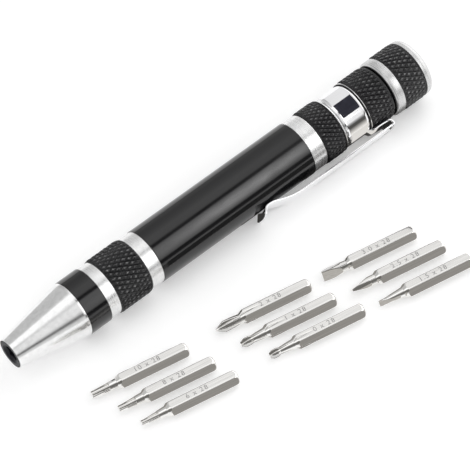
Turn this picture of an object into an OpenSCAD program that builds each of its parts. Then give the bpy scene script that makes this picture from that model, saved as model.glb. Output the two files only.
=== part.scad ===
// Pocket screwdriver shaped like a pen, with nine bits laid out beside it.
// The pen lies along X on its cap and on the edge of its clip.
// The origin is the middle of the bit socket's mouth, and +X runs to the cap.

/* [Nose] */
// Length of the bare nose cone that shows
nose_len = 20.6; // [17:0.1:26]
// Diameter of the nose at its tip
nose_tip_d = 8.6; // [8.2:0.1:9.6]
// Radius that blends the cone into the body
nose_blend_r = 11; // [6:1:16]
// Wall of the cone round the socket's flange
nose_rim = 0.17; // [0.15:0.01:0.3]
// Gap between the cone's spigot and the bit carrier
carrier_room = 0.1; // [0.05:0.05:0.5]

/* [Bit socket] */
// Hexagon of the bits across its flats
bit_af = 4; // [3.9:0.05:4.1]
// Total gap between a bit's flats and the socket's flats
socket_play = 0.1; // [0.06:0.01:0.14]
// Depth of the hexagon from the mouth
socket_depth = 14; // [11:0.5:15]
// Wall of the socket insert round the hexagon's corners
socket_wall = 1.2; // [0.9:0.1:1.25]
// Diameter of the countersunk mouth
socket_mouth_d = 6; // [5.2:0.1:6.4]
// Thickness of the socket's flange
socket_flange_t = 0.9; // [0.6:0.1:1.5]
// Diameter of the holding magnet
magnet_d = 3.8; // [3:0.1:3.9]
// Thickness of the holding magnet
magnet_t = 2.8; // [2:0.1:3]

/* [Barrel] */
// Diameter of the plain barrel
barrel_d = 16; // [15.9:0.05:16.2]
// How much wider than the barrel the band behind the nose is
band_rise = 0.2; // [0:0.05:0.4]
// Length of the black band behind the nose
band_len = 6.75; // [5:0.25:9]
// Depth of the bare rings below the barrel's surface
ring_drop = 0.15; // [0.1:0.05:0.25]
// Length of the bare ring before the grip
ring_front_len = 3.25; // [2:0.25:5]
// Length of the knurled grip
grip_len = 10.7; // [8:0.1:16]
// How much wider than the barrel the grip's knurl is
grip_rise = 0.4; // [0:0.05:0.8]
// Length of the bare ring behind the grip
ring_mid_len = 3.8; // [2:0.2:5]
// Length of the plain barrel
barrel_len = 52.2; // [50:0.2:60]
// Length of the bare ring at the barrel's end
ring_rear_len = 4.3; // [3:0.1:6]
// Wall of the barrel round the bit store
barrel_wall = 1.7; // [1.5:0.05:1.75]

/* [Rear section] */
// How much wider than the barrel the rear section's knurl is
rear_rise = 0.15; // [0:0.05:0.4]
// Length of the front knurled part
rear_front_len = 7; // [6:0.1:9]
// Length of the bare chamfer before the clip's groove
rear_chamfer_len = 0.6; // [0.4:0.1:0.9]
// Width of the groove for the clip's collar
neck_len = 7.8; // [7.4:0.1:9]
// Depth of the groove below the knurl
neck_depth = 1.05; // [1:0.05:1.3]
// Length of the rear knurled part
rear_back_len = 8.8; // [8:0.1:11]
// Length of the spigot inside the barrel
spigot_len = 8; // [7:0.2:9]
// Radial clearance of the spigot in the barrel
spigot_clear = 0.05; // [0.02:0.01:0.08]
// Thickness of the seal ring's section
seal_t = 0.9; // [0.7:0.05:1]

/* [Swivel cap] */
// How much wider than the barrel the swivel cap is
cap_rise = 1; // [0.6:0.1:1.6]
// Gap between the rear section and the cap
cap_gap = 0.5; // [0.4:0.05:0.8]
// Length of the cap's leading chamfer
cap_chamfer_len = 1.2; // [0.8:0.1:1.6]
// Length of the cap's bare ring
cap_ring_len = 1.7; // [1:0.1:3]
// Length of the cap's knurl
cap_knurl_len = 7.7; // [6:0.1:11]
// Length of the bare ring at the cap's end
cap_end_len = 2.4; // [1.8:0.1:4]
// Radius of the cap's end edge
cap_edge_r = 1.5; // [0.8:0.1:1.7]
// Diameter of the cap's axle
axle_d = 4; // [3.4:0.1:4.6]
// Radial clearance of the axle in its bearing
axle_clear = 0.05; // [0.02:0.01:0.08]
// Length of the axle's bearing
bearing_len = 7.8; // [6:0.1:8.6]

/* [Knurl] */
// Diamonds round each knurl
knurl_count = 36; // [24:1:36]
// Depth of the knurl
knurl_depth = 0.33; // [0.2:0.01:0.35]
// Length of one diamond along the pen
knurl_pitch = 2.5; // [2:0.1:3.4]

/* [Clip] */
// Gap between the clip's edge and the surface that the pen lies on
clip_rest_gap = 0.05; // [0.02:0.01:0.2]
// Thickness of the clip's sheet
clip_t = 0.55; // [0.4:0.05:0.6]
// Width of the collar along the pen
collar_w = 6.6; // [5.5:0.1:6.8]
// Width of the arm
clip_w = 8.4; // [6:0.2:8.6]
// Width of the tab where it leaves the collar
tab_w = 4.8; // [4:0.2:5.5]
// Gap between the tab and the rear knurl
tab_gap = 0.09; // [0.06:0.01:0.2]
// Radius of the fold at the middle of the sheet
fold_r = 1; // [0.8:0.05:1.1]
// Height of the arched arm's crown over its edges
clip_arch = 0.5; // [0.3:0.05:0.6]
// Length of the arm's straight part
arm_len = 31.6; // [28:0.2:36]
// Gap between the arm's dip and the barrel
clip_touch_gap = 0.08; // [0.06:0.01:0.2]

/* [Bits] */
// Length of each bit
bit_len = 28; // [25:0.5:28]
// Distance from a bit's tip to its full hexagon
bit_neck_len = 8.4; // [7.5:0.1:10]
// Diameter of a bit's neck at the shoulder
bit_neck_d = 2.9; // [2.7:0.1:3.2]
// Gap round a bit in the carrier
pocket_play = 0.15; // [0.1:0.01:0.2]
// Turn of the bits away from the pen's line
bits_turn = -11.5; // [-15:0.5:-8]
// Tip diameters of the star bits
star_d = [2.3, 1.95, 1.6]; // [1.4:0.05:2.6]
// Tip diameters of the cross bits
cross_d = [3.2, 2.6, 2.5]; // [2:0.1:3.4]
// Blade widths of the flat bits
blade_w = [2.9, 2.4, 1.4]; // [1.2:0.1:3]

/* [Hidden] */

// Roundness of the turned parts, and the overrun of every cut
round_fn = 96;
over = 0.2;
// Play of pieces that are pressed together, of faces that meet, and of a cut edge
press_gap = 0.02;
face_gap = 0.05;
edge_break = 0.3;

// Diameters that step up from the barrel's, and the groove for the clip
band_d = barrel_d + band_rise;
grip_d = barrel_d + grip_rise;
rear_d = barrel_d + rear_rise;
cap_d = barrel_d + cap_rise;
neck_d = rear_d - 2 * neck_depth;

// Places along the pen, each from the one before
band_x = nose_len;
ring_front_x = band_x + band_len;
grip_x = ring_front_x + ring_front_len;
ring_mid_x = grip_x + grip_len;
barrel_x = ring_mid_x + ring_mid_len;
ring_rear_x = barrel_x + barrel_len;
barrel_end_x = ring_rear_x + ring_rear_len;
rear_front_end_x = barrel_end_x + rear_front_len;
neck_x = rear_front_end_x + rear_chamfer_len;
rear_back_x = neck_x + neck_len;
rear_end_x = rear_back_x + rear_back_len;
cap_x = rear_end_x + cap_gap;
cap_ring_x = cap_x + cap_chamfer_len;
cap_knurl_x = cap_ring_x + cap_ring_len;
cap_end_ring_x = cap_knurl_x + cap_knurl_len;
pen_len = cap_end_ring_x + cap_end_len;

// Radii of the body and of the rings
barrel_r = barrel_d / 2;
band_r = band_d / 2;
ring_r = barrel_r - ring_drop;
store_r = barrel_r - barrel_wall;
floor_z = -cap_d / 2;

// Socket and magnet
socket_af = bit_af + socket_play;
socket_hex_r = socket_af / 2 / cos(30);
socket_r = socket_hex_r + socket_wall;
flange_r = nose_tip_d / 2 - nose_rim;
magnet_r = magnet_d / 2;
socket_len = socket_depth + magnet_t + edge_break;

// Rear section, its spigot and the cap's axle
spigot_r = store_r - spigot_clear;
spigot_x = barrel_end_x - spigot_len;
spigot_wall = 1.65;
hollow_r = spigot_r - spigot_wall;
hollow_end_x = rear_end_x - bearing_len;
seal_x = spigot_x + 0.4 * spigot_len;
seal_r = store_r - press_gap - seal_t / 2;
land_len = 0.25;
land_r = rear_d / 2 - 0.35 * knurl_depth;
rear_core_r = rear_d / 2 - knurl_depth - face_gap;
chamfer_drop = 0.4;
axle_r = axle_d / 2;
bearing_r = axle_r + axle_clear;
axle_head_len = 2.2;
axle_press_len = 6.5;
clip_ring_t = 0.6;
clip_ring_room = 0.9;
clip_ring_wall = hollow_r - clip_ring_room - axle_r;
axle_groove_drop = 0.45;
washer_wall = 3.5;
axle_clip_x = hollow_end_x - 2 * face_gap - clip_ring_t;

// Carrier: two rows of open pockets, as many round as fit beside each other
carrier_clear = 0.2;
carrier_r = store_r - carrier_clear;
carrier_partition = 1;
carrier_end_wall = 0.8;
pocket_af = bit_af + pocket_play;
pocket_len = bit_len + pocket_play;
pocket_r = carrier_r - pocket_af / 2 - 0.15 * bit_af;
pocket_mouth = 0.86 * bit_af;
pocket_web = 0.3;
pocket_turn_share = (pocket_af / 2 + pocket_web) / pocket_r;
pocket_count = pocket_turn_share < 1 ? floor(180 / asin(pocket_turn_share)) : 1;
carrier_len = 2 * pocket_len + carrier_partition + 2 * carrier_end_wall;
carrier_x = spigot_x - carrier_len;
carrier_stub_len = 4.5;
nose_spigot_len = carrier_x - carrier_room - nose_len;

// Clip: collar in its groove, tab, fold and arm, seen with the clip upwards
collar_in_r = neck_d / 2 + face_gap;
collar_out_r = collar_in_r + clip_t;
collar_x = rear_back_x - collar_w - 2 * face_gap;
collar_split = 1.2;
collar_taper_front = 2.4;
collar_taper_back = 0.9;
collar_taper_share = 0.94;
tab_h = rear_d / 2 + tab_gap + clip_t / 2;
arm_h = tab_h + 2 * fold_r;
fold_room = 3.5;
fold_x = rear_end_x - fold_room;
fold_steps = 12;
tab_root_len = 1.5;
tab_root_rise = 0.03;
tab_rise = 38;
dip_turn = 20;
lip_turn = 50;
lip_len = 1.8;
touch_h = barrel_r + clip_touch_gap + clip_t / 2;
arc_in_r = 9.2;
arc_lip_r = 1.4;
arm_steps = 8;
clip_cells = 8;

// The pen lies on its cap and on the clip's lower edge, which sets the clip's angle
edge_h = arm_h + clip_t / 2 - clip_arch;
edge_reach = sqrt(pow(edge_h, 2) + pow(clip_w / 2, 2));
clip_drop = asin((cap_d / 2 - clip_rest_gap) / edge_reach) - atan2(clip_w / 2, edge_h);

// The arm drops from its height to the touch point on two arcs and a short straight
dip_drop = arm_h - touch_h;
arc_out_r = 20;
dip_arcs_drop = (arc_out_r + arc_in_r) * (1 - cos(dip_turn));
dip_straight = (dip_drop - dip_arcs_drop) / sin(dip_turn);

// Bits: middle of each one on the floor, as x and y from the socket's mouth
hex_r = bit_af / 2 / cos(30);
bit_z = floor_z + bit_af / 2;
star_places = [[23.5, -23.2], [25.9, -31.2], [27.5, -38.5]];
cross_places = [[60, -29.4], [61.9, -37.2], [65.1, -44.9]];
flat_places = [[91.6, -35.3], [94.2, -43.8], [96.7, -51.9]];

// Points on an arc, for outlines
function arc(cx, cy, r, a0, a1, n) =
    [for (i = [0:n]) let (a = a0 + (a1 - a0) * i / n) [cx + r * cos(a), cy + r * sin(a)]];

// Turns an outline of [radius, place along the pen] round the pen's axis
module turned(points) {
    rotate([0, 90, 0])
        rotate_extrude($fn = round_fn)
            polygon(points);
}

// A round bar along the pen
module bar(x, length, r) {
    translate([x, 0, 0])
        rotate([0, 90, 0])
            cylinder(h = length, r = r, $fn = round_fn);
}

// A hexagonal bar along the pen with flats above and below
module hex_bar(x, length, af) {
    translate([x, 0, 0])
        rotate([0, 90, 0])
            rotate([0, 0, 30])
                cylinder(h = length, r = af / 2 / cos(30), $fn = 6);
}

// Diamond knurl: each diamond is a low pyramid between crossing grooves
function knurl_rows(length) = 2 * max(2, round(length / knurl_pitch));
function knurl_r(i, j, rows, crest, bottom) =
    (j == 0 || j == rows || (i + j) % 2 == 1) ? bottom : crest;

module knurl(x, length, crest, wall) {
    rows = knurl_rows(length);
    n = 2 * knurl_count;
    bottom = crest - knurl_depth;
    inner = bottom - wall;
    skin = [for (j = [0:rows]) for (i = [0:n - 1])
        let (r = knurl_r(i, j, rows, crest, bottom), a = 360 * i / n)
            [x + length * j / rows, r * cos(a), r * sin(a)]];
    bore = [for (j = [0, 1]) for (i = [0:n - 1])
        [x + length * j, inner * cos(360 * i / n), inner * sin(360 * i / n)]];
    base = n * (rows + 1);
    function at(i, j) = j * n + i % n;
    function low(i, j) = base + j * n + i % n;
    cells = [for (j = [0:rows - 1]) for (i = [0:n - 1]) for (half = [0, 1])
        (i + j) % 2 == 0
            ? (half == 0 ? [at(i, j), at(i, j + 1), at(i + 1, j)]
                         : [at(i + 1, j), at(i, j + 1), at(i + 1, j + 1)])
            : (half == 0 ? [at(i, j), at(i + 1, j + 1), at(i + 1, j)]
                         : [at(i, j), at(i, j + 1), at(i + 1, j + 1)])];
    ends = [for (i = [0:n - 1]) for (f = [
        [low(i, 0), at(i, 0), at(i + 1, 0)], [low(i, 0), at(i + 1, 0), low(i + 1, 0)],
        [low(i, 1), at(i + 1, rows), at(i, rows)], [low(i, 1), low(i + 1, 1), at(i + 1, rows)],
        [low(i, 0), low(i + 1, 1), low(i, 1)], [low(i, 0), low(i + 1, 0), low(i + 1, 1)]]) f];
    polyhedron(points = concat(skin, bore), faces = concat(cells, ends), convexity = 4);
}

// Nose cone: a straight taper that meets the blend's arc on a tangent
blend_cy = band_r - nose_blend_r;
blend_d = sqrt(pow(nose_len, 2) + pow(blend_cy - nose_tip_d / 2, 2));
taper = atan2(blend_cy - nose_tip_d / 2, nose_len) + asin(nose_blend_r / blend_d);
spigot_front_r = store_r - press_gap;

module nose_cone() {
    blend = [for (p = arc(nose_len, blend_cy, nose_blend_r, 90 + taper, 90, 6)) [p[1], p[0]]];
    color("silver")
        difference() {
            turned(concat([[0, 0], [nose_tip_d / 2 - nose_rim / 2, 0], [nose_tip_d / 2, nose_rim / 2]],
                blend,
                [[spigot_front_r, nose_len], [spigot_front_r, nose_len + nose_spigot_len],
                 [0, nose_len + nose_spigot_len]]));
            bar(-over, socket_flange_t + face_gap + over, flange_r + press_gap);
            bar(0, socket_len + face_gap, socket_r + press_gap);
        }
}

// Hexagonal socket with a countersunk mouth and a seat for the magnet
module bit_socket() {
    mouth_len = (socket_mouth_d / 2 - socket_af / 2) / tan(50);
    color("#1d1d1f")
        difference() {
            turned([[0, 0], [flange_r - nose_rim, 0], [flange_r, nose_rim], [flange_r, socket_flange_t],
                [socket_r, socket_flange_t], [socket_r, socket_len - edge_break],
                [socket_r - edge_break, socket_len], [0, socket_len]]);
            hex_bar(-over, socket_depth + over, socket_af);
            turned([[0, -over], [socket_mouth_d / 2, -over], [socket_mouth_d / 2, 0],
                [socket_af / 2, mouth_len], [0, mouth_len]]);
            bar(socket_depth - over, socket_len, magnet_r + press_gap);
        }
}

module socket_magnet() {
    color("lightgray")
        turned([[0, socket_depth + edge_break / 2], [magnet_r - edge_break, socket_depth + edge_break / 2],
            [magnet_r, socket_depth + 1.5 * edge_break],
            [magnet_r, socket_depth + magnet_t - edge_break / 2],
            [magnet_r - edge_break, socket_depth + magnet_t + edge_break / 2],
            [0, socket_depth + magnet_t + edge_break / 2]]);
}

// Barrel: black band, bare ring, knurled grip, bare ring, plain length and bare end ring
module barrel() {
    color("#2a2a2c")
        difference() {
            union() {
                turned([[store_r - over, band_x], [band_r - edge_break / 2, band_x],
                    [band_r, band_x + edge_break / 2], [band_r, ring_front_x - edge_break / 2],
                    [band_r - edge_break / 2, ring_front_x], [ring_r, ring_front_x],
                    [ring_r, barrel_x], [barrel_r - edge_break / 2, barrel_x],
                    [barrel_r, barrel_x + edge_break / 2], [barrel_r, ring_rear_x - edge_break / 2],
                    [barrel_r - edge_break / 2, ring_rear_x], [ring_r, ring_rear_x],
                    [ring_r, barrel_end_x - edge_break / 2], [ring_r - edge_break / 2, barrel_end_x],
                    [store_r - over, barrel_end_x]]);
                knurl(grip_x, grip_len, grip_d / 2, knurl_depth);
            }
            bar(band_x - over, barrel_end_x - band_x + 2 * over, store_r);
            turned([[0, barrel_end_x - edge_break], [store_r, barrel_end_x - edge_break],
                [store_r + edge_break + over, barrel_end_x + over], [0, barrel_end_x + over]]);
        }
}

module seal_ring() {
    color("#161616")
        translate([seal_x, 0, 0])
            rotate([0, 90, 0])
                rotate_extrude($fn = round_fn)
                    translate([seal_r, 0])
                        circle(d = seal_t, $fn = 32);
}

// One open pocket of the carrier, at a given place and turn
module pocket(x, turn) {
    rotate([turn, 0, 0]) {
        translate([0, 0, pocket_r])
            hex_bar(x, pocket_len, pocket_af);
        translate([x, -pocket_mouth / 2, pocket_r])
            cube([pocket_len, pocket_mouth, carrier_r]);
    }
}

module bit_carrier() {
    front_x = carrier_x + carrier_end_wall;
    back_x = front_x + pocket_len + carrier_partition;
    color("#303034")
        difference() {
            turned([[0, carrier_x], [carrier_r - edge_break, carrier_x],
                [carrier_r, carrier_x + edge_break], [carrier_r, spigot_x - face_gap],
                [hollow_r - face_gap, spigot_x - face_gap],
                [hollow_r - face_gap, spigot_x + carrier_stub_len - edge_break],
                [hollow_r - face_gap - edge_break, spigot_x + carrier_stub_len],
                [0, spigot_x + carrier_stub_len]]);
            for (x = [front_x, back_x])
                for (k = [0:pocket_count - 1])
                    pocket(x, 360 / pocket_count * k + 45);
        }
}

// Rear section: spigot, front knurl, clip groove, rear knurl and bearing
module rear_sleeve() {
    color("#2a2a2c")
        difference() {
            union() {
                turned([[0, spigot_x], [spigot_r - edge_break, spigot_x],
                    [spigot_r, spigot_x + edge_break], [spigot_r, barrel_end_x + face_gap],
                    [rear_core_r - edge_break, barrel_end_x + face_gap],
                    [rear_core_r, barrel_end_x + face_gap + edge_break],
                    [rear_core_r, rear_front_end_x - land_len], [land_r, rear_front_end_x - land_len],
                    [land_r, rear_front_end_x], [land_r - chamfer_drop, neck_x],
                    [neck_d / 2, neck_x], [neck_d / 2, rear_back_x],
                    [land_r - chamfer_drop, rear_back_x], [land_r, rear_back_x + chamfer_drop],
                    [land_r, rear_back_x + chamfer_drop + land_len / 2],
                    [rear_core_r, rear_back_x + chamfer_drop + land_len / 2],
                    [rear_core_r, rear_end_x - edge_break], [rear_core_r - edge_break, rear_end_x],
                    [0, rear_end_x]]);
                knurl(barrel_end_x + edge_break, rear_front_end_x - barrel_end_x - edge_break - land_len / 2,
                    rear_d / 2, knurl_depth);
                knurl(rear_back_x + chamfer_drop, rear_back_len - chamfer_drop - edge_break,
                    rear_d / 2, knurl_depth);
            }
            bar(spigot_x - over, hollow_end_x - spigot_x + over, hollow_r);
            bar(hollow_end_x - over, bearing_len + 2 * over, bearing_r);
            difference() {
                bar(seal_x - seal_t / 2 - face_gap, seal_t + 2 * face_gap, spigot_r + over);
                bar(seal_x - seal_t, 2 * seal_t, seal_r - seal_t / 2 - press_gap);
            }
        }
}

// Turns a shape that stands up from the axis to the clip's side of the pen
module clip_side() {
    rotate([90 + clip_drop, 0, 0])
        children();
}

// Walks along the sheet's middle line: each station is [x, height, heading]
function ahead(p, length, turn) =
    let (h = p[2] + turn / 2, chord = turn == 0 ? length : length * sin(abs(turn) / 2) / (abs(turn) / 2 * PI / 180))
        [p[0] + chord * cos(h), p[1] + chord * sin(h), p[2] + turn];
function stretch(p, length, turn, n) =
    [for (i = 1, q = ahead(p, length / n, turn / n); i <= n; i = i + 1, q = ahead(q, length / n, turn / n)) q];
function last(list) = list[len(list) - 1];
function bend(p, r, turn, n) = stretch(p, r * abs(turn) * PI / 180, turn, n);

// A strip of sheet along stations: width and arch are given for each station
module strip(stations, widths, arches) {
    n = clip_cells;
    count = len(stations);
    points = [for (i = [0:count - 1]) for (side = [1, -1]) for (k = [0:n])
        let (s = stations[i], share = 2 * k / n - 1,
            up = side * clip_t / 2,
            z_arch = -arches[i] * share * share)
            [s[0] - up * sin(s[2]), widths[i] / 2 * share, s[1] + up * cos(s[2]) + z_arch]];
    ring = 2 * (n + 1);
    function at(i, side, k) = i * ring + side * (n + 1) + k;
    skins = [for (i = [0:count - 2]) for (k = [0:n - 1]) for (f = [
        [at(i, 0, k), at(i, 0, k + 1), at(i + 1, 0, k + 1)],
        [at(i, 0, k), at(i + 1, 0, k + 1), at(i + 1, 0, k)],
        [at(i, 1, k), at(i + 1, 1, k + 1), at(i, 1, k + 1)],
        [at(i, 1, k), at(i + 1, 1, k), at(i + 1, 1, k + 1)]]) f];
    sides = [for (i = [0:count - 2]) for (f = [
        [at(i, 0, 0), at(i + 1, 0, 0), at(i + 1, 1, 0)], [at(i, 0, 0), at(i + 1, 1, 0), at(i, 1, 0)],
        [at(i, 0, n), at(i + 1, 1, n), at(i + 1, 0, n)], [at(i, 0, n), at(i, 1, n), at(i + 1, 1, n)]]) f];
    caps = [for (k = [0:n - 1]) for (f = [
        [at(0, 0, k), at(0, 1, k + 1), at(0, 0, k + 1)], [at(0, 0, k), at(0, 1, k), at(0, 1, k + 1)],
        [at(count - 1, 0, k), at(count - 1, 0, k + 1), at(count - 1, 1, k + 1)],
        [at(count - 1, 0, k), at(count - 1, 1, k + 1), at(count - 1, 1, k)]]) f];
    polyhedron(points = points, faces = concat(skins, sides, caps), convexity = 6);
}

// The tab leaves the collar's wall, climbs over the knurl and folds back on itself
tab_start = [rear_back_x - tab_root_len, collar_in_r + clip_t / 2 + tab_root_rise, 0];
tab_bend_r = 1;
tab_climb = (tab_h - tab_start[1] - 2 * tab_bend_r * (1 - cos(tab_rise))) / sin(tab_rise);
tab_up = bend(tab_start, tab_bend_r, tab_rise, 3);
tab_over = stretch(last(tab_up), tab_climb, 0, 1);
tab_flat = bend(last(tab_over), tab_bend_r, -tab_rise, 3);
tab_run = stretch(last(tab_flat), fold_x - last(tab_flat)[0], 0, 2);
tab_fold = bend(last(tab_run), fold_r, 180, fold_steps);
tab_stations = concat([tab_start], tab_up, tab_over, tab_flat, tab_run, tab_fold);

module clip_collar() {
    count = len(tab_stations);
    flat_from = 1 + len(tab_up) + len(tab_over);
    fold_from = count - 1 - fold_steps;
    grow = [for (i = [0:count - 1]) min(1, max(0, (i - flat_from + 1) / (fold_from - flat_from)))];
    widths = [for (g = grow) tab_w + (clip_w - tab_w) * g];
    root_arch = collar_out_r - sqrt(pow(collar_out_r, 2) - pow(tab_w / 2, 2));
    arches = [for (i = [0:count - 1]) i <= fold_from
        ? root_arch + (clip_arch - root_arch) * grow[i]
        : clip_arch * abs(1 - 2 * (i - fold_from) / fold_steps)];
    reach = collar_out_r * collar_taper_share;
    color("gainsboro")
        clip_side()
            union() {
                difference() {
                    bar(collar_x, collar_w, collar_out_r);
                    bar(collar_x - over, collar_w + 2 * over, collar_in_r);
                    translate([0, 0, -collar_out_r - over])
                        linear_extrude(height = collar_out_r)
                            collar_cuts(reach);
                }
                strip(tab_stations, widths, arches);
            }
}

// The collar's open ends: a narrow split, with the sheet drawn in on both sides of it
module collar_cuts(reach) {
    back_x = collar_x + collar_w;
    half = collar_split / 2;
    translate([collar_x - over, -half])
        square([collar_w + 2 * over, collar_split]);
    polygon([[collar_x - over, -reach], [collar_x, -reach], [collar_x + collar_taper_front, -half],
        [collar_x + collar_taper_front, half], [collar_x, reach], [collar_x - over, reach]]);
    polygon([[back_x + over, -reach], [back_x, -reach], [back_x - collar_taper_back, -half],
        [back_x - collar_taper_back, half], [back_x, reach], [back_x + over, reach]]);
}

// The arm runs back over the barrel, dips to it and turns up in a lip
module clip_arm() {
    start = [fold_x - press_gap, arm_h, 180];
    run = stretch(start, arm_len, 0, 2);
    down = bend(last(run), arc_out_r, dip_turn, arm_steps);
    slope = stretch(last(down), dip_straight, 0, 1);
    level = bend(last(slope), arc_in_r, -dip_turn, arm_steps / 2);
    lift = bend(last(level), arc_lip_r, -lip_turn, arm_steps);
    lip = stretch(last(lift), lip_len, 0, 1);
    stations = concat([start], run, down, slope, level, lift, lip);
    color("gainsboro")
        clip_side()
            strip(stations, [for (s = stations) clip_w], [for (s = stations) clip_arch]);
}

module thrust_washer() {
    color("white")
        difference() {
            bar(rear_end_x + face_gap, cap_gap - 2 * face_gap, bearing_r + washer_wall);
            bar(rear_end_x, cap_gap, bearing_r);
        }
}

// Swivel cap: leading chamfer, bare ring, knurl and a rounded bare end
module swivel_cap() {
    cap_r = cap_d / 2;
    bare_r = cap_r - knurl_depth / 3;
    core_r = cap_r - knurl_depth - face_gap;
    edge = [for (p = arc(pen_len - cap_edge_r, bare_r - cap_edge_r, cap_edge_r, 90, 0, 6)) [p[1], p[0]]];
    color("#2a2a2c")
        difference() {
            union() {
                turned(concat([[0, cap_x], [bare_r - cap_chamfer_len / 2, cap_x], [bare_r, cap_ring_x],
                    [bare_r, cap_knurl_x], [core_r, cap_knurl_x], [core_r, cap_end_ring_x],
                    [bare_r, cap_end_ring_x]], edge, [[0, pen_len]]));
                knurl(cap_knurl_x - face_gap, cap_knurl_len + 2 * face_gap, cap_r, knurl_depth);
            }
            bar(cap_x - over, axle_press_len + over, axle_r + press_gap);
        }
}

// Axle of the cap, pressed into it, with a groove for its clip
module cap_axle() {
    start_x = axle_clip_x - axle_head_len;
    groove_r = axle_r - axle_groove_drop;
    end_x = cap_x + axle_press_len - face_gap;
    color("silver")
        turned([[0, start_x], [axle_r - edge_break, start_x], [axle_r, start_x + edge_break],
            [axle_r, axle_clip_x - face_gap], [groove_r, axle_clip_x - face_gap],
            [groove_r, axle_clip_x + clip_ring_t + face_gap],
            [axle_r, axle_clip_x + clip_ring_t + face_gap], [axle_r, end_x - edge_break],
            [axle_r - edge_break, end_x], [0, end_x]]);
}

// Retaining clip, open on one side so that it can be pushed on
module axle_clip() {
    ring_in = axle_r - axle_groove_drop + press_gap;
    ring_out = axle_r + clip_ring_wall;
    color("dimgray")
        difference() {
            bar(axle_clip_x, clip_ring_t, ring_out);
            bar(axle_clip_x - over, clip_ring_t + 2 * over, ring_in);
            translate([axle_clip_x - over, -ring_in, 0])
                cube([clip_ring_t + 2 * over, 2 * ring_in, ring_out + over]);
        }
}

// A bit along X with its tip at 0: hexagon, tail, shoulder and neck
bit_tail_r = 0.72 * hex_r;
bit_tail_len = 1.1;
bit_cone = 33;
shoulder_len = (hex_r - bit_neck_d / 2) / tan(bit_cone);

module bit_blank(tip_profile) {
    tail = [for (p = arc(bit_len - bit_tail_len, bit_tail_r, 1, 90, 0, 5))
        [bit_tail_r + (hex_r + over - bit_tail_r) * (p[1] - bit_tail_r),
         bit_len - bit_tail_len + bit_tail_len * (p[0] - bit_len + bit_tail_len)]];
    intersection() {
        hex_bar(0, bit_len, bit_af);
        turned(concat([[0, 0]], tip_profile,
            [[bit_neck_d / 2, bit_neck_len - shoulder_len],
             [hex_r, bit_neck_len], [hex_r + over, bit_neck_len + over]], tail, [[0, bit_len]]));
    }
}

// Lays a bit down on the floor at its place
module lay(place) {
    translate([place[0], place[1], bit_z])
        rotate([0, 0, bits_turn])
            translate([-bit_len / 2, 0, 0])
                children();
}

// Six flutes round the tip make the star
module star_bit(d) {
    flute_len = 0.55 * bit_neck_len;
    flute_r = 0.17 * d;
    difference() {
        bit_blank([[d / 2 - 0.06 * d, 0], [d / 2, 0.06 * d], [d / 2, 0.14 * bit_neck_len]]);
        for (k = [0:5])
            rotate([60 * k, 0, 0])
                translate([-over, 0, 0.53 * d]) {
                    bar(0, flute_len, flute_r);
                    translate([flute_len, 0, 0])
                        sphere(r = flute_r, $fn = 32);
                }
    }
}

// Four tapered flutes cut the cross
module cross_bit(d, point_d, neck_share) {
    tip_len = (d - point_d) / 2 / tan(27);
    full_len = tip_len + 0.5 * d;
    rise = 9;
    difference() {
        bit_blank([[point_d / 2, 0], [d / 2, tip_len], [d / 2, full_len],
            [d / 2 * neck_share, full_len + 0.3 * d]]);
        for (k = [0:3])
            rotate([90 * k, 0, 0])
                translate([0, 0, 0.13 * d])
                    rotate([0, -rise, 0])
                        translate([-d, 0, 0])
                            rotate([45, 0, 0])
                                cube([d + 0.8 * bit_neck_len, d, d]);
    }
}

// A blade ground on both faces and both edges, turned about the bit's axis
module flat_bit(w, turn) {
    tip_t = 0.16 * w + 0.06 * bit_neck_d;
    grind_len = 0.62 * bit_neck_len;
    depth = 0.5 * bit_neck_d;
    difference() {
        bit_blank([[w / 2 + 0.1 * w, 0], [w / 2 + 0.1 * w, 0.2 * bit_neck_len]]);
        rotate([turn, 0, 0]) {
            for (side = [0, 180])
                rotate([side, 0, 0])
                    translate([0, bit_af, 0])
                        rotate([90, 0, 0])
                            linear_extrude(height = 2 * bit_af)
                                polygon([[-over, tip_t / 2], [0, tip_t / 2], [grind_len, depth],
                                    [grind_len, bit_af], [-over, bit_af]]);
            for (side = [0, 180])
                rotate([side, 0, 0])
                    translate([0, 0, -bit_af])
                        linear_extrude(height = 2 * bit_af)
                            polygon([[-over, w / 2], [0, w / 2], [grind_len, max(w / 2, 0.48 * bit_neck_d)],
                                [grind_len, bit_af], [-over, bit_af]]);
        }
    }
}

module star_bit_large() { color("#b9b6ae") lay(star_places[0]) star_bit(star_d[0]); }
module star_bit_medium() { color("#b9b6ae") lay(star_places[1]) star_bit(star_d[1]); }
module star_bit_small() { color("#b9b6ae") lay(star_places[2]) star_bit(star_d[2]); }
module cross_bit_large() { color("#b9b6ae") lay(cross_places[0]) cross_bit(cross_d[0], 0.22 * cross_d[0], 1); }
module cross_bit_medium() { color("#b9b6ae") lay(cross_places[1]) cross_bit(cross_d[1], 0.5 * cross_d[1], 0.86); }
module cross_bit_small() { color("#b9b6ae") lay(cross_places[2]) cross_bit(cross_d[2], 0.6 * cross_d[2], 0.8); }
module flat_bit_wide() { color("#b9b6ae") lay(flat_places[0]) flat_bit(blade_w[0], 60); }
module flat_bit_turned() { color("#b9b6ae") lay(flat_places[1]) flat_bit(blade_w[1], 150); }
module flat_bit_narrow() { color("#b9b6ae") lay(flat_places[2]) flat_bit(blade_w[2], 60); }

bit_socket();
socket_magnet();
nose_cone();
barrel();
seal_ring();
bit_carrier();
rear_sleeve();
clip_collar();
clip_arm();
thrust_washer();
swivel_cap();
cap_axle();
axle_clip();
star_bit_large();
star_bit_medium();
star_bit_small();
cross_bit_large();
cross_bit_medium();
cross_bit_small();
flat_bit_wide();
flat_bit_turned();
flat_bit_narrow();
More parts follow.
